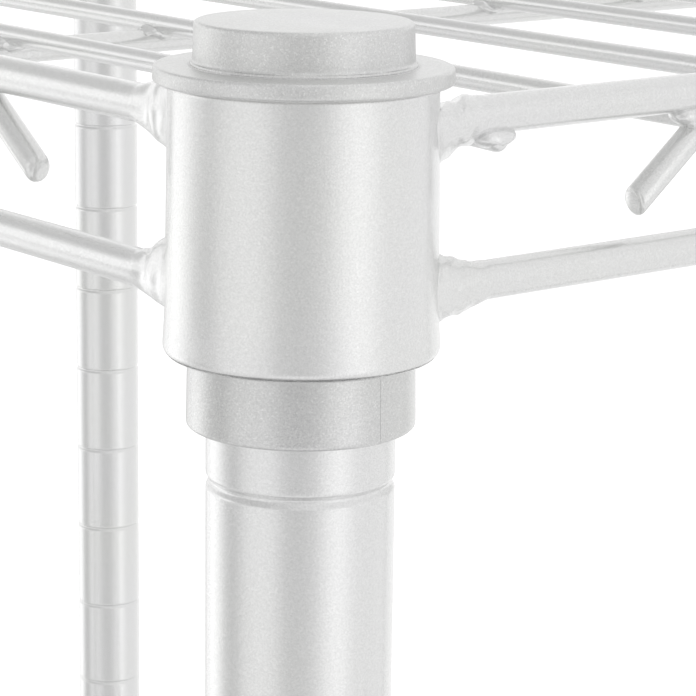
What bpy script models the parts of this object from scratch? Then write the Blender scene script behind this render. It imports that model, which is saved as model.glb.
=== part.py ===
"""Light-duty wire shelving rack: three welded wire shelves clamped to four grooved posts."""

import math

import bmesh
import bpy
from mathutils import Vector

# Posts. Lengths are in metres, X runs along the shelves and the front faces -Y.
POST_RADIUS = 0.009525
POST_WALL = 0.0010
POST_FOOT_Z = 0.0125
POST_ABOVE_TOP_SEAT = 0.0145
POST_SPACING_X = 0.490
POST_SPACING_Y = 0.305
GROOVE_PITCH = 0.0254
GROOVE_DEPTH = 0.0008
GROOVE_WIDTH = 0.0022
GROOVE_FLOOR = 0.0010

# Each shelf clamps at one groove, counted up from the foot of the post.
SHELF_SEATS = {"bottom": 4, "middle": 16, "top": 28}

# Clearance between pieces that touch, and how deep a weld sinks one wire into another.
GAP = 0.0003
WELD = 0.0006

# Shelf heights below are measured from the groove that the shelf clamps at.
COLLAR_BOTTOM = -0.0125
COLLAR_TOP = 0.0144
COLLAR_TOP_RADIUS = 0.0133
COLLAR_BOTTOM_RADIUS = 0.0137
COLLAR_EDGE = 0.0008
SLEEVE_BOTTOM = -0.0197
SLEEVE_TOP = 0.0136
SLEEVE_BOTTOM_RADIUS = 0.0115
SLEEVE_TOP_RADIUS = 0.0109
SLEEVE_SEAM_TURN = math.radians(4.5)
RIB_REACH = 0.0003

RAIL_RADIUS = 0.00195
RAIL_OFFSET = 0.0070
UPPER_RAIL = 0.0109
LOWER_RAIL = -0.0061
DECK_RADIUS = 0.0013
DECK_HEIGHT = 0.00825
DECK_EDGE_STEPS = (0.0305, 0.0537)
DECK_MIDDLE_GAPS = 7
DECK_OVERHANG = 0.0008
CROSS_RADIUS = 0.0016
CROSS_WIRES = 4
CROSS_END_RUN = 0.012
TRUSS_RADIUS = 0.0014
TRUSS_LEG_RUN = 0.0165
LONG_TRUSS = {"cut_end": 0.0374, "cut_height": 0.0015, "first_crest": 0.0478}
SHORT_TRUSS = {"cut_end": 0.0386, "cut_height": -0.0003, "first_crest": 0.0502}

# Cap on top of each post: a plug, a flange over the collar and a raised disc.
CAP_FLANGE_RADIUS = 0.0148
CAP_FLANGE_THICKNESS = 0.0014
CAP_DISC_RADIUS = 0.0109
CAP_DISC_HEIGHT = 0.0044
CAP_EDGE = 0.0006
CAP_PLUG_LENGTH = 0.0120
CAP_PLUG_WALL = 0.0015

# Levelling foot: a round pad, a hexagon to turn it by and a stud up into the socket.
PAD_RADIUS = 0.0130
PAD_HEIGHT = 0.0060
HEX_RADIUS = 0.0065
HEX_HEIGHT = 0.0035
STUD_RADIUS = 0.0040
STUD_LENGTH = 0.0240
SOCKET_LENGTH = 0.0200
SOCKET_FLANGE = 0.0020

ROUND_SIDES = 16
POST_SIDES = 16
SLEEVE_STEPS = 8
RAIL_SIDES = 6
THIN_SIDES = 4

POSTS = {
    "front_right": (1, -1),
    "front_left": (-1, -1),
    "back_right": (1, 1),
    "back_left": (-1, 1),
}


def seat_height(groove):
    """Height of the middle of a groove, counted up from the foot of the post."""
    return POST_FOOT_Z + groove * GROOVE_PITCH


def post_top():
    return seat_height(SHELF_SEATS["top"]) + POST_ABOVE_TOP_SEAT


def post_centre(corner):
    side_x, side_y = POSTS[corner]
    return Vector((side_x * POST_SPACING_X / 2, side_y * POST_SPACING_Y / 2, 0))


def clear_scene():
    for thing in list(bpy.data.objects):
        bpy.data.objects.remove(thing, do_unlink=True)


def make_material(name, colour, roughness, metallic):
    material = bpy.data.materials.new(name)
    material.use_nodes = True
    shader = material.node_tree.nodes["Principled BSDF"]
    shader.inputs["Base Color"].default_value = (*colour, 1)
    shader.inputs["Roughness"].default_value = roughness
    shader.inputs["Metallic"].default_value = metallic
    return material


def finish_mesh(name, bm):
    """Turn a bmesh into a mesh with its faces pointing out and its sharp edges kept."""
    bmesh.ops.recalc_face_normals(bm, faces=bm.faces)
    mesh = bpy.data.meshes.new(name)
    bm.to_mesh(mesh)
    bm.free()
    mesh.shade_smooth()
    mesh.set_sharp_from_angle(angle=math.radians(35))
    return mesh


def place(name, mesh, material, location):
    if not mesh.materials:
        mesh.materials.append(material)
    thing = bpy.data.objects.new(name, mesh)
    thing.location = location
    bpy.context.scene.collection.objects.link(thing)
    return thing


def turned_mesh(name, outline, sides):
    """Spin a closed (radius, height) outline about Z. Points on the axis are merged."""
    bm = bmesh.new()
    corners = [bm.verts.new((radius, 0, height)) for radius, height in outline]
    edges = []
    for first, second in zip(corners, corners[1:] + corners[:1]):
        on_axis = first.co.x == 0 and second.co.x == 0
        if not on_axis:
            edges.append(bm.edges.new((first, second)))
    bmesh.ops.spin(
        bm,
        geom=corners + edges,
        axis=(0, 0, 1),
        cent=(0, 0, 0),
        angle=2 * math.pi,
        steps=sides,
        use_merge=True,
    )
    bmesh.ops.remove_doubles(bm, verts=bm.verts, dist=1e-6)
    return finish_mesh(name, bm)


def half_turned_mesh(name, outline, start, end, steps):
    """Sweep a closed (radius, height) outline between two angles and close both ends."""
    bm = bmesh.new()
    rings = []
    for step in range(steps + 1):
        angle = start + (end - start) * step / steps
        across = Vector((math.cos(angle), math.sin(angle), 0))
        rings.append([bm.verts.new(across * radius + Vector((0, 0, height))) for radius, height in outline])
    for ring, following in zip(rings, rings[1:]):
        for index in range(len(outline)):
            after = (index + 1) % len(outline)
            bm.faces.new((ring[index], ring[after], following[after], following[index]))
    bm.faces.new(rings[0])
    bm.faces.new(rings[-1])
    return finish_mesh(name, bm)


def groove_outline(height):
    """The outer wall of a post through one groove, from top to bottom."""
    floor_radius = POST_RADIUS - GROOVE_DEPTH
    return [
        (POST_RADIUS, height + GROOVE_WIDTH / 2),
        (floor_radius, height + GROOVE_FLOOR / 2),
        (floor_radius, height - GROOVE_FLOOR / 2),
        (POST_RADIUS, height - GROOVE_WIDTH / 2),
    ]


def post_mesh():
    """A tube, open at both ends, with a groove at each shelf."""
    inner = POST_RADIUS - POST_WALL - GROOVE_DEPTH
    outline = [(inner, post_top()), (POST_RADIUS, post_top())]
    for groove in sorted(SHELF_SEATS.values(), reverse=True):
        outline += groove_outline(seat_height(groove))
    outline += [(POST_RADIUS, POST_FOOT_Z), (inner, POST_FOOT_Z)]
    return turned_mesh("post", outline, POST_SIDES)


def sleeve_mesh(name, turn):
    """Half of a tapered split sleeve, with a rib inside that sits in the post's groove."""
    bore = POST_RADIUS + GAP
    rib = POST_RADIUS - RIB_REACH
    outline = [
        (bore, SLEEVE_TOP),
        (SLEEVE_TOP_RADIUS, SLEEVE_TOP),
        (SLEEVE_BOTTOM_RADIUS, SLEEVE_BOTTOM),
        (bore, SLEEVE_BOTTOM),
        (bore, -GROOVE_FLOOR * 0.7),
        (rib, -GROOVE_FLOOR * 0.3),
        (rib, GROOVE_FLOOR * 0.3),
        (bore, GROOVE_FLOOR * 0.7),
    ]
    seam = GAP / 2 / POST_RADIUS
    start = SLEEVE_SEAM_TURN + turn + seam
    return half_turned_mesh(name, outline, start, start + math.pi - 2 * seam, SLEEVE_STEPS)


def collar_mesh():
    """A tapered ring that wedges down over the sleeve, with its lower edge turned in."""
    taper = (SLEEVE_BOTTOM_RADIUS - SLEEVE_TOP_RADIUS) / (SLEEVE_TOP - SLEEVE_BOTTOM)
    top_bore = SLEEVE_TOP_RADIUS - taper * (COLLAR_TOP - SLEEVE_TOP) + GAP
    bottom_bore = SLEEVE_TOP_RADIUS + taper * (SLEEVE_TOP - COLLAR_BOTTOM) + GAP
    outline = [
        (top_bore, COLLAR_TOP),
        (COLLAR_TOP_RADIUS, COLLAR_TOP),
        (COLLAR_BOTTOM_RADIUS, COLLAR_BOTTOM + COLLAR_EDGE),
        (COLLAR_BOTTOM_RADIUS - COLLAR_EDGE, COLLAR_BOTTOM),
        (bottom_bore, COLLAR_BOTTOM),
    ]
    return turned_mesh("collar", outline, ROUND_SIDES)


def cap_mesh():
    """Cap with a hollow plug. Its own zero height is the underside of the flange."""
    plug = POST_RADIUS - POST_WALL - GROOVE_DEPTH - GAP
    disc_top = CAP_FLANGE_THICKNESS + CAP_DISC_HEIGHT
    outline = [
        (0, disc_top),
        (CAP_DISC_RADIUS - CAP_EDGE, disc_top),
        (CAP_DISC_RADIUS, disc_top - CAP_EDGE),
        (CAP_DISC_RADIUS, CAP_FLANGE_THICKNESS),
        (CAP_FLANGE_RADIUS, CAP_FLANGE_THICKNESS),
        (CAP_FLANGE_RADIUS, 0),
        (plug, 0),
        (plug, -CAP_PLUG_LENGTH),
        (plug - CAP_PLUG_WALL, -CAP_PLUG_LENGTH),
        (plug - CAP_PLUG_WALL, 0),
        (0, 0),
    ]
    return turned_mesh("cap", outline, ROUND_SIDES)


def socket_mesh():
    """Plug in the foot of the post, bored for the stud of the levelling foot."""
    outer = POST_RADIUS - POST_WALL - GROOVE_DEPTH - GAP
    bore = STUD_RADIUS + GAP
    below = POST_FOOT_Z - GAP
    outline = [
        (bore, below + SOCKET_LENGTH),
        (outer, below + SOCKET_LENGTH),
        (outer, below),
        (POST_RADIUS, below),
        (POST_RADIUS, below - SOCKET_FLANGE),
        (bore, below - SOCKET_FLANGE),
    ]
    return turned_mesh("foot_socket", outline, ROUND_SIDES)


def foot_mesh():
    """Levelling foot: its pad stands on the floor and its stud runs up into the socket."""
    hexagon_top = PAD_HEIGHT + HEX_HEIGHT
    outline = [
        (0, hexagon_top + STUD_LENGTH),
        (STUD_RADIUS, hexagon_top + STUD_LENGTH),
        (STUD_RADIUS, hexagon_top),
        (HEX_RADIUS, hexagon_top),
        (HEX_RADIUS, PAD_HEIGHT),
        (PAD_RADIUS, PAD_HEIGHT * 0.6),
        (PAD_RADIUS, 0),
        (0, 0),
    ]
    return turned_mesh("foot", outline, ROUND_SIDES - 4)


def add_wire(bm, points, radius, sides, turn):
    """A bent round wire with mitred corners. Its points lie in one upright plane."""
    points = [Vector(point) for point in points]
    runs = [(after - before).normalized() for before, after in zip(points, points[1:])]
    across = Vector((0, 0, 1)).cross(points[-1] - points[0]).normalized()
    rings = []
    for index, point in enumerate(points):
        before = runs[max(index - 1, 0)]
        after = runs[min(index, len(runs) - 1)]
        along = (before + after).normalized()
        up = along.cross(across)
        stretch = 1 / along.dot(before)
        ring = []
        for side in range(sides):
            angle = turn + 2 * math.pi * side / sides
            offset = across * math.cos(angle) + up * (math.sin(angle) * stretch)
            ring.append(bm.verts.new(point + offset * radius))
        rings.append(ring)
    for ring, following in zip(rings, rings[1:]):
        for side in range(sides):
            after = (side + 1) % sides
            bm.faces.new((ring[side], ring[after], following[after], following[side]))
    bm.faces.new(rings[0])
    bm.faces.new(rings[-1])


def collar_radius_at(height):
    share = (height - COLLAR_BOTTOM) / (COLLAR_TOP - COLLAR_BOTTOM)
    return COLLAR_BOTTOM_RADIUS + (COLLAR_TOP_RADIUS - COLLAR_BOTTOM_RADIUS) * share


def rail_lines():
    """How far the rails of the short and the long sides stand from the middle of the rack."""
    return POST_SPACING_X / 2 + RAIL_OFFSET, POST_SPACING_Y / 2 + RAIL_OFFSET


def rail_routes():
    """The eight straight rails, two on each side, that meet the outer part of each collar."""
    line_x, line_y = rail_lines()
    routes = []
    for height in (UPPER_RAIL, LOWER_RAIL):
        reach = math.sqrt((collar_radius_at(height) + GAP) ** 2 - (RAIL_OFFSET - RAIL_RADIUS) ** 2)
        end_x = POST_SPACING_X / 2 - reach
        end_y = POST_SPACING_Y / 2 - reach
        for side in (-1, 1):
            routes.append([(-end_x, side * line_y, height), (end_x, side * line_y, height)])
            routes.append([(side * line_x, -end_y, height), (side * line_x, end_y, height)])
    return routes


def deck_routes():
    """Lengthwise wires, held under the upper rails of the two short sides."""
    line_x, line_y = rail_lines()
    reach = line_x + DECK_OVERHANG
    outer, inner = (line_y - step for step in DECK_EDGE_STEPS)
    middle = [-inner + 2 * inner * gap / DECK_MIDDLE_GAPS for gap in range(DECK_MIDDLE_GAPS + 1)]
    return [[(-reach, y, DECK_HEIGHT), (reach, y, DECK_HEIGHT)] for y in [-outer, *middle, outer]]


def cross_routes():
    """Wires under the deck, set up at their ends to meet the rails of the long sides."""
    low = DECK_HEIGHT - DECK_RADIUS - CROSS_RADIUS + WELD
    high = UPPER_RAIL - RAIL_RADIUS - CROSS_RADIUS + WELD
    line_x, reach = rail_lines()
    bend = reach - CROSS_END_RUN
    step = 2 * line_x / (CROSS_WIRES + 1)
    routes = []
    for wire in range(1, CROSS_WIRES + 1):
        x = -line_x + wire * step
        routes.append([(x, -reach, high), (x, -bend, low), (x, bend, low), (x, reach, high)])
    return routes


def truss_heights(span, truss):
    """Distances along one side, from its middle, and heights of the zigzag's corners."""
    crest = UPPER_RAIL - RAIL_RADIUS - TRUSS_RADIUS + WELD
    trough = LOWER_RAIL + RAIL_RADIUS + TRUSS_RADIUS - WELD
    run = span - 2 * truss["first_crest"]
    legs = 2 * round(run / TRUSS_LEG_RUN / 2)
    end = span / 2 - truss["cut_end"]
    corners = [(-end, truss["cut_height"])]
    for leg in range(legs + 1):
        height = trough if leg % 2 else crest
        corners.append((-run / 2 + leg * run / legs, height))
    corners.append((end, truss["cut_height"]))
    return corners


def truss_routes():
    """A zigzag wire between the two rails of each side, with its ends cut free."""
    line_x, line_y = rail_lines()
    routes = []
    for side in (-1, 1):
        x = side * line_x
        y = side * line_y
        routes.append([(along, y, height) for along, height in truss_heights(POST_SPACING_X, LONG_TRUSS)])
        routes.append([(x, along, height) for along, height in truss_heights(POST_SPACING_Y, SHORT_TRUSS)])
    return routes


def wire_object(name, routes, radius, sides, turn):
    bm = bmesh.new()
    for route in routes:
        add_wire(bm, route, radius, sides, turn)
    thing = bpy.data.objects.new(name, finish_mesh(name, bm))
    bpy.context.scene.collection.objects.link(thing)
    return thing


def shelf_wires_mesh():
    """All the wires of one shelf, welded into one body by Boolean unions."""
    body = wire_object("rails", rail_routes(), RAIL_RADIUS, RAIL_SIDES, math.pi / 6)
    groups = [
        wire_object("deck", deck_routes(), DECK_RADIUS, THIN_SIDES, 0),
        wire_object("crossings", cross_routes(), CROSS_RADIUS, THIN_SIDES, 0.2),
        wire_object("trusses", truss_routes(), TRUSS_RADIUS, THIN_SIDES, 0.1),
    ]
    for group in groups:
        union = body.modifiers.new("weld_" + group.name, "BOOLEAN")
        union.operation = "UNION"
        union.object = group
    graph = bpy.context.evaluated_depsgraph_get()
    mesh = bpy.data.meshes.new_from_object(body.evaluated_get(graph))
    mesh.name = "shelf_wires"
    for thing in [body, *groups]:
        bpy.data.objects.remove(thing, do_unlink=True)
    mesh.shade_smooth()
    mesh.set_sharp_from_angle(angle=math.radians(40))
    return mesh


def build_posts(materials):
    post = post_mesh()
    socket = socket_mesh()
    foot = foot_mesh()
    cap = cap_mesh()
    cap_seat = Vector((0, 0, seat_height(SHELF_SEATS["top"]) + max(POST_ABOVE_TOP_SEAT, COLLAR_TOP) + GAP))
    for corner in POSTS:
        centre = post_centre(corner)
        place("post_" + corner, post, materials["post"], centre)
        place("foot_socket_" + corner, socket, materials["socket"], centre)
        place("foot_" + corner, foot, materials["foot"], centre)
        place("cap_" + corner, cap, materials["cap"], centre + cap_seat)


def build_shelves(materials):
    wires = shelf_wires_mesh()
    collar = collar_mesh()
    halves = {"front": sleeve_mesh("sleeve_front", math.pi), "back": sleeve_mesh("sleeve_back", 0)}
    for shelf, groove in SHELF_SEATS.items():
        seat = Vector((0, 0, seat_height(groove)))
        place("shelf_wires_" + shelf, wires, materials["wire"], seat)
        for corner in POSTS:
            centre = seat + post_centre(corner)
            place(f"collar_{shelf}_{corner}", collar, materials["collar"], centre)
            for half, mesh in halves.items():
                place(f"sleeve_{shelf}_{corner}_{half}", mesh, materials["sleeve"], centre)


def main():
    clear_scene()
    paint = (0.78, 0.79, 0.78)
    materials = {
        "post": make_material("post_paint", paint, 0.35, 0.6),
        "wire": make_material("wire_paint", paint, 0.35, 0.6),
        "collar": make_material("collar_paint", paint, 0.3, 0.6),
        "sleeve": make_material("sleeve_plastic", (0.62, 0.63, 0.62), 0.5, 0.3),
        "cap": make_material("cap_plastic", (0.66, 0.67, 0.66), 0.55, 0.3),
        "socket": make_material("socket_plastic", (0.6, 0.6, 0.6), 0.6, 0.0),
        "foot": make_material("foot_plastic", (0.6, 0.6, 0.6), 0.55, 0.0),
    }
    build_posts(materials)
    build_shelves(materials)


main()
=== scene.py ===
# Finished looks for the wire shelving rack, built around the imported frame. Lengths are in metres.
import math

import bpy
import numpy as np
from mathutils import Matrix, Vector


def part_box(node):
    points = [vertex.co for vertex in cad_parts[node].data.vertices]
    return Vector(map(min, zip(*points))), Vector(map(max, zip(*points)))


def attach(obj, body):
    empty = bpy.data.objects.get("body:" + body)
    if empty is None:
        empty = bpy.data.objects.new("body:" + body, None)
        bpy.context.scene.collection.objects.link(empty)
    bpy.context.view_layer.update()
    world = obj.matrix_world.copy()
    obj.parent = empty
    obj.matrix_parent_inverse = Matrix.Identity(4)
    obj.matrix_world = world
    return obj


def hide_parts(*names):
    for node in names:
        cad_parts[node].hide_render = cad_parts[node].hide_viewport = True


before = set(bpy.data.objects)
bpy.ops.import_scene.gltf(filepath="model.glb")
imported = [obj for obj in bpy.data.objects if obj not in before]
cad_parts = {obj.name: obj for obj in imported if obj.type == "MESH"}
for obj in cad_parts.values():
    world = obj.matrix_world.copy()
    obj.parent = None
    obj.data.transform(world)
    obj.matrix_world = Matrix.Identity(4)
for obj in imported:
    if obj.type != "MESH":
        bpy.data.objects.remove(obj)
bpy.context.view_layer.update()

corners = ("front_right", "front_left", "back_right", "back_left")
shelves = ("bottom", "middle", "top")
dice = np.random.default_rng(11)


def middleOf(node):
    low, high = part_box(node)
    return (low + high) / 2


def atHeight(vector, height):
    return Vector((vector.x, vector.y, height))


postLow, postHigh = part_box("post_front_right")
postRadius = (postHigh.x - postLow.x) / 2
postAt = {corner: atHeight(middleOf("post_" + corner), 0) for corner in corners}
halfX, halfY = postAt["back_right"].x, postAt["back_right"].y
collarBelow = 0.0125  # from the groove that a shelf clamps at down to the foot of its collar
seatAt = {shelf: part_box(f"collar_{shelf}_front_right")[0].z + collarBelow for shelf in shelves}
print("frame loaded: posts", round(2 * halfX, 4), "by", round(2 * halfY, 4), "m apart")


# a chunk is (points, [face arrays]), and a piece is built from one or more chunks
def gridFaces(rings, sides, wrapRings=False):
    ringCount = rings if wrapRings else rings - 1
    ring, side = np.meshgrid(np.arange(ringCount), np.arange(sides), indexing="ij")
    nextRing, nextSide = (ring + 1) % rings, (side + 1) % sides
    here, there = ring * sides, nextRing * sides
    return np.stack([here + side, here + nextSide, there + nextSide, there + side], -1).reshape(-1, 4)


def fanFaces(pole, first, sides):
    side = np.arange(sides)
    return np.stack([np.full(sides, pole), first + side, first + (side + 1) % sides], -1)


def facingOut(points, faces):
    # flips every face when the closed chunk is inside out
    centre = points.mean(0)
    volume = 0.0
    for array in faces:
        corner = points[array] - centre
        for index in range(1, array.shape[1] - 1):
            cross = np.cross(corner[:, index], corner[:, index + 1])
            volume += np.einsum("ij,ij->", corner[:, 0], cross)
    return points, faces if volume > 0 else [array[:, ::-1] for array in faces]


def closedTube(rings):
    # rings is (count, sides, 3); both ends are closed to a middle point
    count, sides, _ = rings.shape
    points = np.vstack([rings.reshape(-1, 3), rings[0].mean(0), rings[-1].mean(0)])
    last = (count - 1) * sides
    ends = np.vstack([fanFaces(count * sides, 0, sides), fanFaces(count * sides + 1, last, sides)])
    return facingOut(points, [gridFaces(count, sides), ends])


def turned(profile, sides, at, solid=False, shape=None):
    # spins (radius, height) pairs about an upright line; a solid starts and ends on that line
    angles = np.linspace(0, 2 * math.pi, sides, endpoint=False)
    rings = []
    for radius, height in profile[1:-1] if solid else profile:
        spread = np.full(sides, radius) if shape is None else shape(radius, height, angles)
        across, back = at.x + spread * np.cos(angles), at.y + spread * np.sin(angles)
        rings.append(np.stack([across, back, np.full(sides, at.z + height)], -1))
    rings = np.array(rings)
    if not solid:
        return facingOut(rings.reshape(-1, 3), [gridFaces(len(rings), sides, wrapRings=True)])
    points, faces = closedTube(rings)
    points[-2:, 2] = at.z + profile[0][1], at.z + profile[-1][1]
    return points, faces


def halfTurned(profile, at, start, end, steps):
    # sweeps a closed (radius, height) outline part of the way round and closes both ends flat
    angles = np.linspace(start, end, steps + 1)
    radius, height = np.array(profile).T
    rings = np.stack(
        [
            at.x + radius[None] * np.cos(angles)[:, None],
            at.y + radius[None] * np.sin(angles)[:, None],
            np.broadcast_to(at.z + height, (steps + 1, len(profile))),
        ],
        -1,
    )
    count = len(profile)
    ends = np.array([np.arange(count)[::-1], steps * count + np.arange(count)])
    return facingOut(rings.reshape(-1, 3), [gridFaces(steps + 1, count), ends])


def holdPoint(corner, towards, cut):
    # a point beside a rounded corner, on its straight side where there is room for one
    if towards.length > cut * 2.2:
        return corner + towards.normalized() * cut * 1.5
    return (corner + towards.normalized() * cut).lerp(corner, -0.05)


def softCorners(outline, radii, steps, closed=True):
    # rounds the corners of an outline and leaves a holding point either side, so flats shade flat
    outline = [Vector(point) for point in outline]
    count, made = len(outline), []
    for index, point in enumerate(outline):
        radius = radii[index]
        if radius == 0 or (not closed and index in (0, count - 1)):
            made.append(point)
            continue
        before, after = outline[index - 1] - point, outline[(index + 1) % count] - point
        cut = min(radius, before.length * 0.45, after.length * 0.45)
        start, end = point + before.normalized() * cut, point + after.normalized() * cut
        made.append(holdPoint(point, before, cut))
        for step in range(steps + 1):
            share = step / steps
            made.append(start.lerp(point, share).lerp(point.lerp(end, share), share))
        made.append(holdPoint(point, after, cut))
    return [tuple(point) for point in made]


def roundedOutline(rows, steps, closed=True):
    # the outline given by rows of (radius, height, corner rounding)
    return softCorners([row[:2] for row in rows], [row[2] for row in rows], steps, closed)


def makeMesh(name, chunks):
    points, arrays, shift = [], [], 0
    for chunkPoints, chunkFaces in chunks:
        points.append(chunkPoints)
        arrays += [array + shift for array in chunkFaces]
        shift += len(chunkPoints)
    points = np.vstack(points)
    loops = np.concatenate([array.ravel() for array in arrays])
    sizes = np.concatenate([np.full(len(array), array.shape[1]) for array in arrays])
    mesh = bpy.data.meshes.new(name)
    mesh.vertices.add(len(points))
    mesh.vertices.foreach_set("co", points.astype(np.float32).ravel())
    mesh.loops.add(len(loops))
    mesh.loops.foreach_set("vertex_index", loops.astype(np.int32))
    mesh.polygons.add(len(sizes))
    mesh.polygons.foreach_set("loop_start", (np.cumsum(sizes) - sizes).astype(np.int32))
    mesh.update(calc_edges=True)
    mesh.shade_smooth()
    mesh.set_sharp_from_angle(angle=math.radians(48))
    return mesh


def makePiece(name, chunks, material, body, slotName, *nodes):
    mesh = makeMesh(name, chunks)
    mesh.materials.append(material)
    piece = bpy.data.objects.new(name, mesh)
    bpy.context.scene.collection.objects.link(piece)
    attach(piece, body)
    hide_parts(*nodes)


def ripple(*phases):
    # a repeatable lumpy field of two angles or lengths, about -1 to 1
    seeds = dice.uniform(0, 2 * math.pi, 6)

    def field(first, second):
        total = 0.5 * np.sin(phases[0] * first + seeds[0]) * np.cos(phases[1] * second + seeds[1])
        total += 0.3 * np.sin(2 * phases[0] * first + 1.3 * phases[1] * second + seeds[2])
        total += 0.2 * np.cos(3 * phases[0] * first - 2.1 * phases[1] * second + seeds[3])
        return total

    return field


def addNode(tree, kind, inputs=None, **settings):
    node = tree.nodes.new(kind)
    for key, value in settings.items():
        setattr(node, key, value)
    for key, value in (inputs or {}).items():
        if isinstance(value, bpy.types.NodeSocket):
            tree.links.new(value, node.inputs[key])
        else:
            node.inputs[key].default_value = value
    return node


def newGroup(name, inputs, outputs):
    group = bpy.data.node_groups.new(name, "ShaderNodeTree")
    for label, kind, value in inputs:
        socket = group.interface.new_socket(label, in_out="INPUT", socket_type=kind)
        if value is not None:
            socket.default_value = value
    for label, kind in outputs:
        group.interface.new_socket(label, in_out="OUTPUT", socket_type=kind)
    return group, addNode(group, "NodeGroupInput"), addNode(group, "NodeGroupOutput")


def mathNode(tree, operation, first, second=0.0):
    return addNode(tree, "ShaderNodeMath", {0: first, 1: second}, operation=operation).outputs[0]


def mixColour(tree, factor, first, second, blend="MIX"):
    node = addNode(tree, "ShaderNodeMix", {"Factor": factor}, data_type="RGBA", blend_type=blend)
    for socket, value in ((node.inputs[6], first), (node.inputs[7], second)):
        if isinstance(value, bpy.types.NodeSocket):
            tree.links.new(value, socket)
        else:
            socket.default_value = value
    return node.outputs[2]


def makeFlakeGroup():
    # tiny bright and dark metal flakes in the paint or the plastic
    group, entry, leave = newGroup(
        "metalFlake",
        [
            ("Vector", "NodeSocketVector", None),
            ("Colour", "NodeSocketColor", (0.8, 0.8, 0.8, 1)),
            ("Size", "NodeSocketFloat", 0.0003),
            ("Contrast", "NodeSocketFloat", 0.1),
            ("Sparkle", "NodeSocketFloat", 0.1),
        ],
        [("Colour", "NodeSocketColor"), ("Height", "NodeSocketFloat")],
    )
    place = entry.outputs["Vector"]
    scale = mathNode(group, "DIVIDE", 1.0, entry.outputs["Size"])
    cells = addNode(group, "ShaderNodeTexVoronoi", {"Vector": place, "Scale": scale})
    grey = addNode(group, "ShaderNodeSeparateColor", {"Color": cells.outputs["Color"]}).outputs[0]
    wider = mathNode(group, "MULTIPLY", scale, 0.6)
    cloud = addNode(group, "ShaderNodeTexNoise", {"Vector": place, "Scale": wider, "Detail": 3.0})
    flakeShare = mathNode(group, "MULTIPLY", grey, 0.6)
    cloudShare = mathNode(group, "MULTIPLY", cloud.outputs["Fac"], 0.8)
    spread = mathNode(group, "SUBTRACT", mathNode(group, "ADD", flakeShare, cloudShare), 0.7)
    lift = mathNode(group, "ADD", mathNode(group, "MULTIPLY", spread, entry.outputs["Contrast"]), 1.0)
    brightest = {"Value": grey, "From Min": 0.9, "From Max": 1.0}
    bright = addNode(group, "ShaderNodeMapRange", brightest).outputs[0]
    glint = mathNode(group, "MULTIPLY", bright, entry.outputs["Sparkle"])
    grown = mathNode(group, "ADD", lift, glint)
    tone = addNode(group, "ShaderNodeCombineColor", {0: grown, 1: grown, 2: grown}).outputs[0]
    colour = mixColour(group, 1.0, entry.outputs["Colour"], tone, "MULTIPLY")
    group.links.new(colour, leave.inputs["Colour"])
    group.links.new(mathNode(group, "ADD", spread, glint), leave.inputs["Height"])
    return group


def makeCloudGroup():
    # slow drift of tint and gloss over a finish
    group, entry, leave = newGroup(
        "finishDrift",
        [
            ("Vector", "NodeSocketVector", None),
            ("Colour", "NodeSocketColor", (0.8, 0.8, 0.8, 1)),
            ("Tint", "NodeSocketColor", (0.8, 0.8, 0.75, 1)),
            ("Scale", "NodeSocketFloat", 60.0),
            ("Amount", "NodeSocketFloat", 0.3),
            ("Roughness", "NodeSocketFloat", 0.3),
            ("Roughness Swing", "NodeSocketFloat", 0.08),
        ],
        [("Colour", "NodeSocketColor"), ("Roughness", "NodeSocketFloat")],
    )
    place, scale = entry.outputs["Vector"], entry.outputs["Scale"]
    wide = addNode(group, "ShaderNodeTexNoise", {"Vector": place, "Scale": scale, "Detail": 3.0})
    limits = {"Value": wide.outputs["Fac"], "From Min": 0.35, "From Max": 0.68}
    share = addNode(group, "ShaderNodeMapRange", limits)
    factor = mathNode(group, "MULTIPLY", share.outputs[0], entry.outputs["Amount"])
    colour = mixColour(group, factor, entry.outputs["Colour"], entry.outputs["Tint"])
    group.links.new(colour, leave.inputs["Colour"])
    finer = mathNode(group, "MULTIPLY", scale, 6.0)
    fine = addNode(group, "ShaderNodeTexNoise", {"Vector": place, "Scale": finer, "Detail": 4.0})
    centred = mathNode(group, "SUBTRACT", fine.outputs["Fac"], 0.5)
    swing = mathNode(group, "MULTIPLY", centred, entry.outputs["Roughness Swing"])
    group.links.new(mathNode(group, "ADD", entry.outputs["Roughness"], swing), leave.inputs["Roughness"])
    return group


def makeDrawnGroup():
    # faint straight marks left by drawing or rolling, stretched along one direction
    group, entry, leave = newGroup(
        "drawnLines",
        [
            ("Vector", "NodeSocketVector", None),
            ("Stretch", "NodeSocketVector", (500.0, 500.0, 6.0)),
            ("Strength", "NodeSocketFloat", 0.5),
        ],
        [("Height", "NodeSocketFloat")],
    )
    pair = {0: entry.outputs["Vector"], 1: entry.outputs["Stretch"]}
    squeezed = addNode(group, "ShaderNodeVectorMath", pair, operation="MULTIPLY").outputs[0]
    lines = addNode(group, "ShaderNodeTexNoise", {"Vector": squeezed, "Scale": 1.0, "Detail": 3.0})
    centred = mathNode(group, "SUBTRACT", lines.outputs["Fac"], 0.5)
    group.links.new(mathNode(group, "MULTIPLY", centred, entry.outputs["Strength"]), leave.inputs["Height"])
    return group


flakeGroup, cloudGroup, drawnGroup = makeFlakeGroup(), makeCloudGroup(), makeDrawnGroup()


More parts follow.
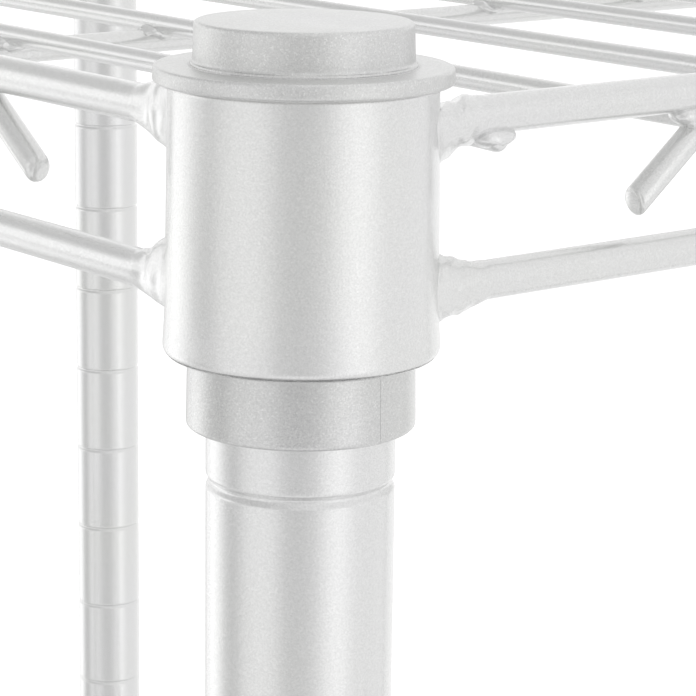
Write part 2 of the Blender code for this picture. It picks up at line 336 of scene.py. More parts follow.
def finishMaterial(look):
    material = bpy.data.materials.new(look["name"])
    material.use_nodes = True
    tree = material.node_tree
    shader = tree.nodes["Principled BSDF"]
    place = addNode(tree, "ShaderNodeTexCoord").outputs["Object"]
    drift = addNode(tree, "ShaderNodeGroup", node_tree=cloudGroup)
    flake = addNode(tree, "ShaderNodeGroup", node_tree=flakeGroup)
    lines = addNode(tree, "ShaderNodeGroup", node_tree=drawnGroup)
    for node in (drift, flake, lines):
        tree.links.new(place, node.inputs["Vector"])
    drift.inputs["Colour"].default_value = (*look["colour"], 1)
    drift.inputs["Tint"].default_value = (*look["tint"], 1)
    drift.inputs["Scale"].default_value = look["driftScale"]
    drift.inputs["Amount"].default_value = look["driftAmount"]
    drift.inputs["Roughness"].default_value = look["roughness"]
    drift.inputs["Roughness Swing"].default_value = look["roughnessSwing"]
    flake.inputs["Size"].default_value = look["flakeSize"]
    flake.inputs["Contrast"].default_value = look["flakeContrast"]
    flake.inputs["Sparkle"].default_value = look["sparkle"]
    lines.inputs["Stretch"].default_value = look["stretch"]
    lines.inputs["Strength"].default_value = look["lineStrength"]
    tree.links.new(drift.outputs["Colour"], flake.inputs["Colour"])
    tree.links.new(flake.outputs["Colour"], shader.inputs["Base Color"])
    tree.links.new(drift.outputs["Roughness"], shader.inputs["Roughness"])
    height = mathNode(tree, "ADD", flake.outputs["Height"], lines.outputs["Height"])
    relief = {"Height": height, "Strength": look["bump"], "Distance": look["bumpDepth"]}
    bump = addNode(tree, "ShaderNodeBump", relief)
    tree.links.new(bump.outputs["Normal"], shader.inputs["Normal"])
    shader.inputs["Metallic"].default_value = look["metallic"]
    return material


paintLook = {
    "name": "silverPaint",
    "colour": (0.82, 0.82, 0.822),
    "tint": (0.82, 0.824, 0.808),
    "driftScale": 45.0,
    "driftAmount": 0.7,
    "roughness": 0.24,
    "roughnessSwing": 0.05,
    "flakeSize": 0.00013,
    "flakeContrast": 0.15,
    "sparkle": 0.03,
    "stretch": (420.0, 420.0, 9.0),
    "lineStrength": 0.6,
    "bump": 0.21,
    "bumpDepth": 0.00004,
    "metallic": 0.93,
}
wireLook = dict(
    paintLook, name="silverPaintOnWire", stretch=(300.0, 300.0, 300.0), lineStrength=0.5, roughness=0.22
)
collarLook = dict(paintLook, name="silverPaintOnCollar")
sleeveLook = dict(
    paintLook,
    name="silverSleevePlastic",
    colour=(0.68, 0.68, 0.68),
    tint=(0.68, 0.684, 0.668),
    roughness=0.24,
    roughnessSwing=0.12,
    flakeSize=0.00012,
    flakeContrast=0.25,
    sparkle=0.09,
    lineStrength=0.1,
    bump=0.18,
    metallic=0.85,
)
capLook = dict(
    sleeveLook,
    name="silverCapPlastic",
    colour=(0.72, 0.72, 0.72),
    tint=(0.72, 0.724, 0.708),
    flakeContrast=0.24,
    sparkle=0.12,
    roughness=0.36,
    bump=0.25,
)
socketLook = dict(
    sleeveLook,
    name="greySocketPlastic",
    colour=(0.45, 0.45, 0.45),
    tint=(0.42, 0.42, 0.41),
    metallic=0.0,
    roughness=0.5,
    sparkle=0.05,
)
footLook = dict(
    socketLook, name="greyFootPlastic", colour=(0.5, 0.5, 0.5), tint=(0.46, 0.46, 0.45), roughness=0.48
)
looks = (paintLook, wireLook, collarLook, sleeveLook, capLook, socketLook, footLook)
finishes = [finishMaterial(look) for look in looks]
postPaint, wirePaint, collarPaint, sleevePlastic, capPlastic, socketPlastic, footPlastic = finishes
print("finishes made")

post = {
    "sides": 96,
    "bore": 0.00775,
    "groovePitch": 0.0254,
    "grooveHalf": 0.00078,
    "grooveDepth": 0.00044,
    "grooveSteps": 12,
    "edge": 0.0003,
    "hold": 0.00035,
    "plainTop": 0.003,
}


def postProfile():
    low, high, edge = postLow.z, postHigh.z, post["edge"]
    profile = [(postRadius - edge, high), (postRadius - edge * 0.3, high - edge * 0.3)]
    profile += [(postRadius, high - edge), (postRadius, high - edge * 2.5)]
    count = int((high - low) / post["groovePitch"])
    for groove in range(count, 0, -1):
        height = low + groove * post["groovePitch"]
        if height > high - post["plainTop"]:
            continue
        profile.append((postRadius, height + post["grooveHalf"] + post["hold"]))
        for share in np.linspace(-1, 1, post["grooveSteps"] + 1):
            depth = post["grooveDepth"] * (0.5 + 0.5 * math.cos(math.pi * share))
            profile.append((postRadius - depth, height - share * post["grooveHalf"]))
        profile.append((postRadius, height - post["grooveHalf"] - post["hold"]))
    profile += [(postRadius, low + edge * 2.5), (postRadius, low + edge), (postRadius - edge, low)]
    profile += [(post["bore"] + edge, low), (post["bore"], low + edge)]
    profile += [(post["bore"], high - edge), (post["bore"] + edge, high)]
    return profile


for corner in corners:
    tube = turned(postProfile(), post["sides"], postAt[corner])
    makePiece("postTube_" + corner, [tube], postPaint, "posts", "post_paint", "post_" + corner)
print("posts made")

# turned rings whose lower lip is rolled in
collar = {
    "sides": 128,
    # (radius, height from the clamped groove, corner rounding)
    "outline": [
        (0.01094, 0.0144, 0.0002),
        (0.01328, 0.0144, 0.00035),
        (0.01362, -0.0086, 0.004),
        (0.01383, -0.0118, 0.0013),
        (0.01325, -0.0125, 0.0006),
        (0.01140, -0.0125, 0.0001),
    ],
}
collarOutline = roundedOutline(collar["outline"], 5)


def collarRadiusAt(height):
    # the collar's taper, where its wires meet it
    side = sorted((high, radius) for radius, high, _ in collar["outline"][1:4])
    return np.interp(height, [high for high, _ in side], [radius for _, radius in side])


for shelf in shelves:
    for corner in corners:
        spot, body = f"{shelf}_{corner}", "shelf_" + shelf
        ring = turned(collarOutline, collar["sides"], atHeight(postAt[corner], seatAt[shelf]))
        makePiece("collarRing_" + spot, [ring], collarPaint, body, "collar_paint", "collar_" + spot)
print("collars made")

sleeve = {
    "steps": 64,
    "top": 0.0136,
    "bottom": -0.0197,
    "topRadius": 0.0109,
    "bottomRadius": 0.0115,
    "boreGap": 0.00012,
    "ribReach": 0.0002,
    "ribHalf": 0.0005,
    "seamTurn": math.radians(4.5),
    "seamGap": 0.000012,
}


def sleeveOutline():
    bore = postRadius + sleeve["boreGap"]
    rib = postRadius - sleeve["ribReach"]
    outline = [
        (bore, sleeve["top"]),
        (sleeve["topRadius"], sleeve["top"]),
        (sleeve["bottomRadius"], sleeve["bottom"]),
        (bore, sleeve["bottom"]),
        (bore, -sleeve["ribHalf"]),
        (rib, -sleeve["ribHalf"] * 0.4),
        (rib, sleeve["ribHalf"] * 0.4),
        (bore, sleeve["ribHalf"]),
    ]
    return softCorners(outline, [0.00015, 0.00025, 0.00045, 0.00012, 0, 0, 0, 0], 3)


for shelf in shelves:
    for corner in corners:
        at = atHeight(postAt[corner], seatAt[shelf])
        for half, turn in (("front", math.pi), ("back", 0)):
            seam = sleeve["seamGap"] / postRadius
            start = sleeve["seamTurn"] + turn + seam
            shell = halfTurned(sleeveOutline(), at, start, start + math.pi - 2 * seam, sleeve["steps"])
            spot = f"_{shelf}_{corner}_{half}"
            makePiece("sleeveHalf" + spot, [shell], sleevePlastic, "posts", "sleeve_plastic", "sleeve" + spot)
print("sleeves made")

cap = {
    "sides": 128,
    "plug": 0.0120,
    "unevenness": 0.00004,
    "unevenBeyond": 0.0105,
    # (radius, height above the underside of the flange, corner rounding); starts and ends on the axis
    "outline": [
        (0.0, 0.00578, 0),
        (0.0072, 0.00577, 0.001),
        (0.01072, 0.00570, 0.00042),
        (0.01088, 0.00190, 0.0006),
        (0.01112, 0.00162, 0.0002),
        (0.01114, 0.00134, 0.0001),
        (0.01140, 0.00144, 0.0001),
        (0.01470, 0.00140, 0.00035),
        (0.01480, -0.00010, 0.00040),
        (0.01420, -0.00036, 0.0002),
        (0.01080, -0.00036, 0.0001),
        (0.01060, 0.0, 0.0001),
        (0.00742, 0.0, 0.0003),
        (0.00742, -0.0120, 0.0004),
        (0.00592, -0.0120, 0.0003),
        (0.00592, 0.0, 0.0003),
        (0.0, 0.0002, 0),
    ],
}
capOutline = roundedOutline(cap["outline"], 4, closed=False)
for corner in corners:
    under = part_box("cap_" + corner)[0].z + cap["plug"]
    wobble = ripple(3.0, 900.0)

    def capShape(radius, height, angles, wobble=wobble):
        amount = cap["unevenness"] if radius > cap["unevenBeyond"] else 0.0
        return radius + amount * wobble(angles, height)

    lid = turned(capOutline, cap["sides"], atHeight(postAt[corner], under), True, capShape)
    makePiece("capTop_" + corner, [lid], capPlastic, "cap_" + corner, "cap_plastic", "cap_" + corner)
print("caps made")

foot = {
    "sides": 96,
    "padRadius": 0.0130,
    "padHeight": 0.0060,
    "hexFlat": 0.0056,
    "hexHeight": 0.0035,
    "studRadius": 0.0040,
    "studLength": 0.0240,
    "threadPitch": 0.00125,
    "threadDepth": 0.00045,
    "threadStart": 0.0008,
}
socket = {"outer": 0.00742, "bore": 0.0043, "length": 0.0200, "flange": 0.0020, "gap": 0.0003}


def footShape(radius, height, angles):
    hexLow, hexTop = foot["padHeight"], foot["padHeight"] + foot["hexHeight"]
    if hexLow - 1e-6 < height < hexTop + 1e-6 and radius > foot["studRadius"] + 1e-5:
        turn = (angles + math.pi / 6) % (math.pi / 3) - math.pi / 6
        return np.minimum(radius, foot["hexFlat"] / np.cos(turn))
    if height > hexTop + foot["threadStart"] and radius > 0.001:
        wave = (height / foot["threadPitch"] - angles / (2 * math.pi)) % 1.0
        ridge = np.abs(2 * wave - 1)
        return radius - foot["threadDepth"] * (1 - ridge)
    return np.full(len(angles), radius)


def footProfile():
    pad, height, stud, start = foot["padRadius"], foot["padHeight"], foot["studRadius"], foot["threadStart"]
    hexTop = height + foot["hexHeight"]
    base = [
        (0.0, 0.0, 0),
        (pad - 0.0016, 0.0, 0.0004),
        (pad, 0.0010, 0.0006),
        (pad, height * 0.6, 0.0008),
        (pad - 0.0020, height * 0.86, 0.0008),
        (0.0070, height, 0.0002),
        (0.0063, height, 0),
    ]
    rim = roundedOutline(base, 4, closed=False)
    rim += [(0.0065, height + 0.0001), (0.0065, hexTop - 0.0004), (0.0060, hexTop), (stud, hexTop)]
    top = hexTop + foot["studLength"]
    thread = [(stud, z) for z in np.arange(hexTop + start, top - start, foot["threadPitch"] / 8)]
    return rim + thread + [(stud - 0.0006, top - 0.0002), (stud - 0.0009, top), (0.0, top)]


def socketProfile():
    top, low = postLow.z - socket["gap"] + socket["length"], postLow.z - socket["gap"]
    outline = [
        (socket["bore"], top, 0.0003),
        (socket["outer"], top, 0.0005),
        (socket["outer"], low, 0.0002),
        (postRadius, low, 0.0004),
        (postRadius, low - socket["flange"], 0.0004),
        (socket["bore"], low - socket["flange"], 0.0003),
    ]
    return roundedOutline(outline, 4)


for corner in corners:
    at = postAt[corner]
    bolt = turned(footProfile(), foot["sides"], at, True, footShape)
    body = "foot_" + corner
    makePiece("levellingFoot_" + corner, [bolt], footPlastic, body, "foot_plastic", "foot_" + corner)
    bush, node = turned(socketProfile(), foot["sides"], at), "foot_socket_" + corner
    makePiece("footSocket_" + corner, [bush], socketPlastic, "posts", "socket_plastic", node)
print("feet made")

# a shelf's wires: rails with their weld necks, deck, cross wires, trusses and weld pads
rail = {
    "radius": 0.00201,
    "offset": 0.0070,
    "upper": 0.0109,
    "lower": -0.0061,
    "sides": 32,
    "blend": 0.0085,
    "step": 0.0002,
    "shortDrop": 0.00015,
    "neckStart": -0.0006,  # inside the collar
    # how a rail thickens into the collar, in mm: how far out that reaches, its extra size (up, down, to
    # the side) at the collar, how sharply that falls away, and two weld beads: (distance from the collar,
    # half width, extra up, down, to the side)
    "neckReach": 6.2,
    "longUpperNeck": {
        "root": (1.39, 2.43, 1.54),
        "fall": (1.0, 1.0, 5.0),
        "beads": [(2.6, 0.7, 0.16, 0.07, 0.39), (1.4, 1.0, 0.27, 0.0, 0.14)],
    },
    "longLowerNeck": {
        "root": (2.82, 1.49, 1.60),
        "fall": (1.3, 1.0, 5.0),
        "beads": [(2.6, 1.2, 0.2, 0.0, 0.41), (4.0, 1.0, -0.18, 0.09, -0.22)],
    },
    "shortUpperNeck": {
        "root": (-0.51, 2.39, 1.61),
        "fall": (1.3, 1.3, 3.0),
        "beads": [(3.0, 1.2, 0.6, 0.27, 0.7), (2.4, 1.0, -0.45, -0.43, -0.28)],
    },
    "shortLowerNeck": {
        "root": (1.37, 1.46, 1.42),
        "fall": (1.3, 1.3, 3.0),
        "beads": [(3.2, 1.2, -0.16, 0.34, 0.27), (4.6, 1.0, -0.11, 0.13, 0.04)],
    },
    "longLumps": 0.00005,
    "shortLumps": 0.00030,
}
deck = {
    "radius": 0.0013,
    "height": 0.00825,
    "edgeSteps": (0.0305, 0.0537),
    "middleGaps": 7,
    "overhang": 0.0008,
    "sides": 20,
    # how far the two front wires wander from straight: (distance from the right rail, shift to the back)
    "wander": {
        0: [(0, -0.0051), (0.030, -0.0014), (0.062, 0.0006), (0.110, 0.0009), (0.30, 0)],
        1: [(0, -0.0006), (0.05, 0), (0.11, 0.0012), (0.30, 0)],
    },
    "bends": 30,
    "blunt": 0.7,
    # weld beads: half lengths in x, y and z, and lumpiness
    "jointPad": (0.0024, 0.0026, 0.0013),
    "jointLumps": 0.25,
    "endPad": (0.0018, 0.0026, 0.0012),
    "endLumps": 0.08,
}
crossWire = {
    "radius": 0.0016,
    "count": 4,
    "endRun": 0.012,
    "bend": 0.02,
    "sides": 20,
    "blunt": 0.6,
    "endPad": (0.0024, 0.0017, 0.0011),
}
truss = {
    "radius": 0.00152,
    "legRun": 0.0165,
    "bend": 0.0032,
    "bendRise": 0.0018,  # what the round bends add to the height that a leg climbs
    "sides": 20,
    "pad": (0.0026, 0.0014, 0.0009),
    "long": {"cutEnd": 0.0374, "cutHeight": 0.0017, "firstCrest": 0.0478, "blunt": 0.65},
    "short": {"cutEnd": 0.0389, "cutHeight": -0.0001, "firstCrest": 0.0502, "blunt": 0.35},
}
weld = 0.0006  # how far welded wires sink into each other
weldShift = 0.0002  # how far a weld's bead stands from the joint
lineX, lineY = halfX + rail["offset"], halfY + rail["offset"]
underRail = rail["upper"] - rail["radius"]


def neckSwell(neck, run):
    # the extra size up, down and to the side, in metres, at a distance from the collar
    away = max(run * 1000, 0.0)
    swell = np.array(neck["root"]) * max(1 - away / rail["neckReach"], 0.0) ** np.array(neck["fall"])
    for middle, halfWidth, *extra in neck["beads"]:
        swell = swell + np.array(extra) * math.exp(-(((run * 1000 - middle) / halfWidth) ** 2))
    return swell / 1000


def neckRings(neck, height, lumps):
    # rings from inside the collar out to the plain rail: (along from the post's axis, outward, up)
    reach = rail["neckReach"] / 1000
    runs = [*np.arange(rail["neckStart"], reach, rail["step"]), reach, rail["blend"] + 0.001]
    phi = np.linspace(0, 2 * math.pi, rail["sides"], endpoint=False)
    field = ripple(2.0, 1500.0)
    radius, rings = rail["radius"], []
    straight = math.sqrt(float(collarRadiusAt(height)) ** 2 - rail["offset"] ** 2)
    for run in runs:
        up, down, side = neckSwell(neck, run)
        fade = np.clip(1 - run / reach, 0, 1) ** 0.5
        lump = lumps * fade * field(phi, run)
        rise = np.where(np.sin(phi) > 0, radius + up, radius + down) + lump
        out = rail["offset"] + (radius + side + lump) * np.cos(phi)
        lift = rise * np.sin(phi)
        wrapped = np.sqrt(np.maximum(collarRadiusAt(height + lift) ** 2 - out**2, 1e-8)) + run
        share = np.clip(run / rail["blend"], 0, 1)
        share = share * share * (3 - 2 * share)
        along = wrapped * (1 - share) + (straight + run) * share
        rings.append(np.stack([along, out, height + lift], -1))
    return rings


def railChunk(lengthwise, side, height, neck, lumps):
    # one rail from collar to collar; the second end mirrors the first with lumps of its own
    half, beside = (halfX, halfY) if lengthwise else (halfY, halfX)
    first, last = neckRings(neck, height, lumps), neckRings(neck, height, lumps)
    start = float(first[-1][:, 0].mean()) + 0.01
    phi = np.linspace(0, 2 * math.pi, rail["sides"], endpoint=False)
    outward = rail["offset"] + rail["radius"] * np.cos(phi)
    upward = height + rail["radius"] * np.sin(phi)
    for along in np.linspace(start, 2 * half - start, 9):
        first.append(np.stack([np.full(rail["sides"], along), outward, upward], -1))
    for ring in last:
        ring[:, 0] = 2 * half - ring[:, 0]
    rings = np.array(first + last[::-1])
    along, out, up = rings[..., 0] - half, side * (rings[..., 1] + beside), rings[..., 2]
    return closedTube(np.stack([along, out, up] if lengthwise else [out, along, up], -1))


def wireChunk(path, radius, sides, across, blunt, cut=None):
    # a bent round wire in one plane; blunt is how far its rounded ends stand out, in radii, and cut
    # is the direction that its half sheared ends face
    path = np.array(path, float)
    across = np.array(across, float)
    runs = np.vstack([path[1:] - path[:-1], path[-1:] - path[-2:-1]])
    runs /= np.linalg.norm(runs, axis=1)[:, None]
    along = np.vstack([runs[:1], runs[:-2] + runs[1:-1], runs[-1:]])
    along /= np.linalg.norm(along, axis=1)[:, None]
    up = np.cross(along, across)
    phi = np.linspace(0, 2 * math.pi, sides, endpoint=False)[:, None]

    def circle(index, scale):
        return scale * radius * (np.cos(phi) * across + np.sin(phi) * up[index])

    rings = [path[index] + circle(index, 1.0) for index in range(len(path))]
    turns = (0.3, 0.55, 0.75, 0.9, 0.98)
    for turn in turns:
        reach, scale = blunt * radius * math.sin(turn * math.pi / 2), math.cos(turn * math.pi / 2) ** 0.6
        rings.insert(0, path[0] - along[0] * reach + circle(0, scale))
        rings.append(path[-1] + along[-1] * reach + circle(-1, scale))
    if cut is not None:
        cut = np.array(cut, float)
        leaning = range(len(turns) + 2)
        for ahead, span in ((along[0], leaning), (along[-1], [-1 - ring for ring in leaning])):
            for ring in span:
                offset = rings[ring] - rings[ring].mean(0)
                rings[ring] = rings[ring] - ahead * ((offset @ cut) / (ahead @ cut))[:, None] * 0.5
    return closedTube(np.array(rings))


def bentPath(points, bend, steps=7, holdLength=0.0006):
    # rounds the corners of a path, with a holding point either side of each bend
    points = [np.array(point, float) for point in points]
    path = [points[0]]
    for before, point, after in zip(points, points[1:], points[2:]):
        back = (before - point) / np.linalg.norm(before - point)
        on = (after - point) / np.linalg.norm(after - point)
        cut = bend * math.tan((math.pi - math.acos(float(np.clip(back @ on, -1, 1)))) / 2)
        start, end = point + back * cut, point + on * cut
        path.append(start + back * holdLength)
        for share in np.linspace(0, 1, steps + 1):
            path.append((1 - share) ** 2 * start + 2 * share * (1 - share) * point + share**2 * end)
        path.append(end + on * holdLength)
    return path + [points[-1]]


def padChunk(centre, reach, lumps=0.14):
    # a squashed, lumpy bead of weld, with its reach from the centre in x, y and z
    sides, rings = 22, 13
    theta = np.linspace(0, math.pi, rings + 2)[1:-1]
    phi = np.linspace(0, 2 * math.pi, sides, endpoint=False)
    field = ripple(2.0, 2.0)
    shell = []
    for tilt in theta:
        swell = np.sin(tilt) * (1 + lumps * field(phi, tilt))
        height = np.full(sides, math.cos(tilt))
        shell.append(np.stack([swell * np.cos(phi), swell * np.sin(phi), height], -1))
    return closedTube(np.array(shell) * np.array(reach) + np.array(centre))


def railChunks():
    chunks = []
    for side in (-1, 1):
        for level, drop in (("Upper", rail["shortDrop"]), ("Lower", 0)):
            height, long, short = rail[level.lower()], rail[f"long{level}Neck"], rail[f"short{level}Neck"]
            chunks.append(railChunk(True, side, height, long, rail["longLumps"]))
            chunks.append(railChunk(False, side, height - drop, short, rail["shortLumps"]))
    return chunks


def deckRows():
    outer, inner = (lineY - step for step in deck["edgeSteps"])
    return [-outer, *np.linspace(-inner, inner, deck["middleGaps"] + 1), outer]


def deckLine(row, x):
    # where a deck wire stands at x
    wander = np.array(deck["wander"].get(row, [(0, 0)]))
    return deckRows()[row] + float(np.interp(lineX - x, wander[:, 0], wander[:, 1]))


def deckChunks():
    chunks = []
    reach = lineX + deck["overhang"]
    for row in range(len(deckRows())):
        places = np.linspace(-reach, reach, deck["bends"] + 1)
        path = [(x, deckLine(row, x), deck["height"]) for x in places]
        chunks.append(wireChunk(path, deck["radius"], deck["sides"], (0, 1, 0), deck["blunt"]))
        for side in (-1, 1):
            centre = (side * (lineX + weldShift), deckLine(row, side * lineX), underRail - 2 * weldShift)
            chunks.append(padChunk(centre, deck["endPad"], deck["endLumps"]))
    return chunks


def crossWireChunks():
    # cross wires run under the deck wires and rise to the long rails at both ends
    chunks = []
    low = deck["height"] - deck["radius"] - crossWire["radius"] + weld
    high = underRail - crossWire["radius"] + weld
    turn = lineY - crossWire["endRun"]
    for x in np.linspace(-lineX, lineX, crossWire["count"] + 2)[1:-1]:
        turns = [(x, -lineY, high), (x, -turn, low), (x, turn, low), (x, lineY, high)]
        path = bentPath(turns, crossWire["bend"])
        chunks.append(wireChunk(path, crossWire["radius"], crossWire["sides"], (1, 0, 0), crossWire["blunt"]))
        for row in range(len(deckRows())):
            centre = (x, deckLine(row, x), deck["height"] - deck["radius"] + weldShift / 2)
            chunks.append(padChunk(centre, deck["jointPad"], deck["jointLumps"]))
        for side in (-1, 1):
            chunks.append(padChunk((x, side * lineY, underRail - weldShift), crossWire["endPad"]))
    return chunks


def trussChunks(lengthwise, span, ends):
    # the zigzag between two rails, on both sides of the shelf
    chunks = []
    run = span - 2 * ends["firstCrest"]
    legs = 2 * round(run / truss["legRun"] / 2)
    crest = underRail - truss["radius"] + weld
    overRail = rail["lower"] + rail["radius"]
    trough = overRail + truss["radius"] - weld
    slope = math.atan((crest - trough + truss["bendRise"]) / (run / legs))
    lift = truss["bend"] * (1 / math.cos(slope) - 1)
    bends = [-run / 2 + leg * run / legs for leg in range(legs + 1)]
    tips = [(-span / 2 + ends["cutEnd"], ends["cutHeight"])]
    tips += [(along, trough - lift if leg % 2 else crest + lift) for leg, along in enumerate(bends)]
    tips.append((span / 2 - ends["cutEnd"], ends["cutHeight"]))
    facing, across = ((1, 0, 0), (0, 1, 0)) if lengthwise else ((0, 1, 0), (1, 0, 0))
    padLong, padWide, padDeep = truss["pad"]
    size = (padLong, padWide, padDeep) if lengthwise else (padWide, padLong, padDeep)
    for side in (-1, 1):
        line = side * (lineY if lengthwise else lineX)

        def placed(along, up, line=line):
            return (along, line, up) if lengthwise else (line, along, up)

        path = bentPath([placed(*tip) for tip in tips], truss["bend"])
        chunks.append(wireChunk(path, truss["radius"], truss["sides"], across, ends["blunt"], facing))
        for leg, along in enumerate(bends):
            height = overRail + weldShift if leg % 2 else underRail - weldShift
            chunks.append(padChunk(placed(along, height), size))
    return chunks


wireChunks = railChunks() + deckChunks() + crossWireChunks()
wireChunks += trussChunks(True, 2 * halfX, truss["long"]) + trussChunks(False, 2 * halfY, truss["short"])
for shelf in shelves:
    raised = [(points + np.array([0, 0, seatAt[shelf]]), faces) for points, faces in wireChunks]
    body = "shelf_" + shelf
    makePiece("shelfWires_" + shelf, raised, wirePaint, body, "wire_paint", "shelf_wires_" + shelf)
print("shelf wires made:", sum(len(points) for points, _ in wireChunks), "points a shelf")

studio = {
    "floorRings": (14.0, 2.0, 0.6),
    "floorColour": (0.93, 0.93, 0.93, 1),
    "floorTint": (0.95, 0.95, 0.95, 1),
    "floorGlow": 0.38,
    "towardsCamera": math.radians(-38.9),
    # brightness round the studio at four heights, as (turn from the camera's side in degrees, level)
    "low": [
        *[(-180, 1.0), (-172, 0.80), (-160, 0.80), (-149, 1.22), (-135, 1.34), (-122, 1.28)],
        *[(-111, 1.02), (-100, 0.68), (-86, 0.56), (-68, 0.88), (-46, 0.95), (-30, 0.90)],
        *[(-16, 0.64), (2, 0.62), (18, 0.72), (32, 0.98), (48, 1.16), (60, 1.06)],
        *[(72, 0.89), (95, 0.89), (130, 0.93), (150, 1.04), (180, 1.10)],
    ],
    "level": [
        *[(-180, 1.1), (-130, 1.1), (-112, 1.15), (-95, 1.10), (-84, 0.7), (-60, 0.88)],
        *[(-46, 0.92), (-30, 0.85), (-16, 0.66), (2, 0.64), (18, 0.72), (32, 0.95)],
        *[(48, 1.12), (72, 0.90), (130, 0.93), (180, 1.1)],
    ],
    "above": [
        *[(-180, 0.90), (-150, 0.64), (-110, 0.60), (-60, 0.62), (0, 0.76)],
        *[(40, 0.88), (60, 0.90), (78, 0.90), (110, 0.86), (180, 0.90)],
    ],
    "below": [
        *[(-180, 1.0), (-140, 0.70), (-110, 0.70), (-60, 0.86)],
        *[(0, 0.88), (60, 0.92), (110, 0.90), (180, 1.0)],
    ],
    "underfoot": (0.5, 0.5, 0.5, 1),
    # the heights, as the sine of the angle above the horizon, between which one ring blends into the next
    "lowToLevel": (-0.18, -0.04),
    "levelToAbove": (0.22, 0.50),
    "toBelow": (-0.36, -0.60),
    "toUnderfoot": (-0.82, -0.97),
    "backdrop": (0.995, 0.995, 0.995, 1),
}


def levelRamp(tree, turn, stops):
    ramp = addNode(tree, "ShaderNodeValToRGB", {"Fac": turn})
    ramp.color_ramp.interpolation = "LINEAR"
    elements = ramp.color_ramp.elements
    while len(elements) < len(stops):
        elements.new(0.5)
    for element, (angle, level) in zip(elements, stops):
        element.position = angle / 360 + 0.5
        element.color = (level, level, level, 1)
    return ramp.outputs["Color"]


def makeWorld():
    world = bpy.data.worlds.new("studio")
    bpy.context.scene.world = world
    world.use_nodes = True
    tree = world.node_tree
    tree.nodes.clear()
    place = addNode(tree, "ShaderNodeTexCoord").outputs["Generated"]
    axes = addNode(tree, "ShaderNodeSeparateXYZ", {0: place})
    angle = mathNode(tree, "ARCTAN2", axes.outputs[1], axes.outputs[0])
    aside = mathNode(tree, "SUBTRACT", angle, studio["towardsCamera"])
    turns = mathNode(tree, "ADD", mathNode(tree, "DIVIDE", aside, 2 * math.pi), 1.5)
    turn = mathNode(tree, "FRACT", turns)
    low, level, above, below = (
        levelRamp(tree, turn, studio[ring]) for ring in ("low", "level", "above", "below")
    )

    def between(heights):
        reach = {"Value": axes.outputs[2], "From Min": heights[0], "From Max": heights[1]}
        return addNode(tree, "ShaderNodeMapRange", reach, interpolation_type="SMOOTHSTEP").outputs[0]

    colour = mixColour(tree, between(studio["lowToLevel"]), low, level)
    colour = mixColour(tree, between(studio["levelToAbove"]), colour, above)
    colour = mixColour(tree, between(studio["toBelow"]), colour, below)
    colour = mixColour(tree, between(studio["toUnderfoot"]), colour, studio["underfoot"])
    seen = addNode(tree, "ShaderNodeLightPath").outputs["Is Camera Ray"]
    colour = mixColour(tree, seen, colour, studio["backdrop"])
    back = addNode(tree, "ShaderNodeBackground", {"Color": colour, "Strength": 1.0})
    leave = addNode(tree, "ShaderNodeOutputWorld")
    tree.links.new(back.outputs[0], leave.inputs[0])


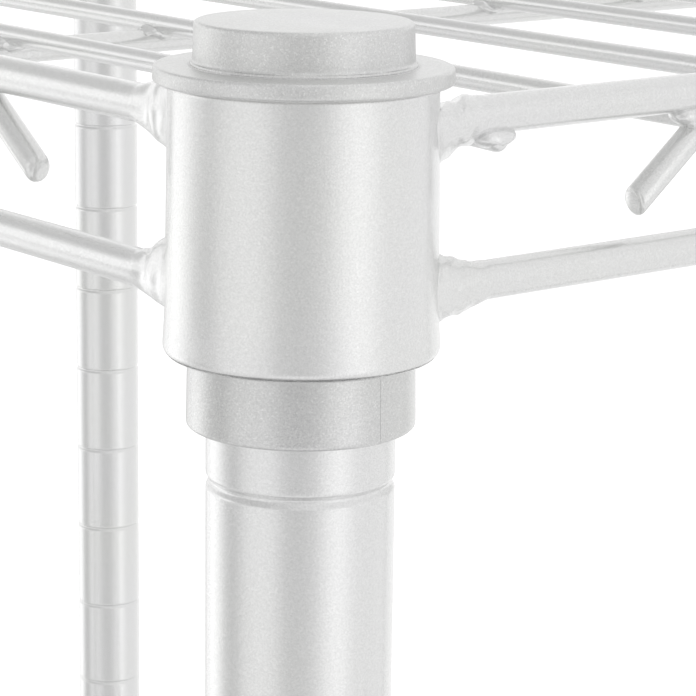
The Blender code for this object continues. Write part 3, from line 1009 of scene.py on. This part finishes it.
def makeFloor():
    sides, radii = 96, studio["floorRings"]
    angles = np.linspace(0, 2 * math.pi, sides, endpoint=False)
    circle = np.stack([np.cos(angles), np.sin(angles), 0 * angles], -1)
    points = np.vstack([*[radius * circle for radius in radii], np.zeros((1, 3))])
    last = len(radii) - 1
    faces = [gridFaces(len(radii), sides), fanFaces(len(radii) * sides, last * sides, sides)]
    mesh = makeMesh("floor", [(points, faces)])
    material = bpy.data.materials.new("paleFloor")
    material.use_nodes = True
    tree = material.node_tree
    shader = tree.nodes["Principled BSDF"]
    place = addNode(tree, "ShaderNodeTexCoord").outputs["Object"]
    cloud = addNode(tree, "ShaderNodeTexNoise", {"Vector": place, "Scale": 2.0, "Detail": 2.0})
    colour = mixColour(tree, cloud.outputs["Fac"], studio["floorColour"], studio["floorTint"])
    tree.links.new(colour, shader.inputs["Base Color"])
    shader.inputs["Roughness"].default_value = 0.8
    shader.inputs["Emission Color"].default_value = (1, 1, 1, 1)
    shader.inputs["Emission Strength"].default_value = studio["floorGlow"]
    mesh.materials.append(material)
    floor = bpy.data.objects.new("floor", mesh)
    bpy.context.scene.collection.objects.link(floor)
    floor.visible_glossy = False


camera = {
    "lens": 143.33,
    "sensor": 36.0,
    "fromCap": (0.2116, -0.1648, 0.0359),  # from the near cap's seat on top of its collar
    "aim": (-0.7578, 0.6115, -0.2277),
    "roll": math.radians(0.76),
}


def makeCamera():
    data = bpy.data.cameras.new("camera")
    data.lens, data.sensor_width = camera["lens"], camera["sensor"]
    data.clip_start, data.clip_end = 0.01, 100
    thing = bpy.data.objects.new("camera", data)
    bpy.context.scene.collection.objects.link(thing)
    seat = atHeight(postAt["front_right"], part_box("cap_front_right")[0].z + cap["plug"])
    aim = Vector(camera["aim"]).normalized()
    side = aim.cross(Vector((0, 0, 1))).normalized()
    up = side.cross(aim)
    cosine, sine = math.cos(camera["roll"]), math.sin(camera["roll"])
    side, up = cosine * side + sine * up, cosine * up - sine * side
    turnMatrix = Matrix((side, up, -aim)).transposed().to_4x4()
    thing.matrix_world = Matrix.Translation(seat + Vector(camera["fromCap"])) @ turnMatrix
    bpy.context.scene.camera = thing


softbox = {"at": (0.3, -0.3, 2.6), "aim": (0, 0, 0.4), "size": 2.2, "power": 22}


def makeSoftbox():
    data = bpy.data.lights.new("overheadSoftbox", "AREA")
    data.shape, data.size, data.energy = "SQUARE", softbox["size"], softbox["power"]
    lamp = bpy.data.objects.new("overheadSoftbox", data)
    bpy.context.scene.collection.objects.link(lamp)
    lamp.location = softbox["at"]
    lamp.rotation_mode = "QUATERNION"
    lamp.rotation_quaternion = (Vector(softbox["aim"]) - Vector(softbox["at"])).to_track_quat("-Z", "Y")
    lamp.visible_camera = False
    lamp.visible_glossy = False


makeWorld()
makeFloor()
makeCamera()
makeSoftbox()
bpy.context.scene.view_settings.view_transform = "Standard"
bpy.context.scene.view_settings.look = "None"
print("studio made")
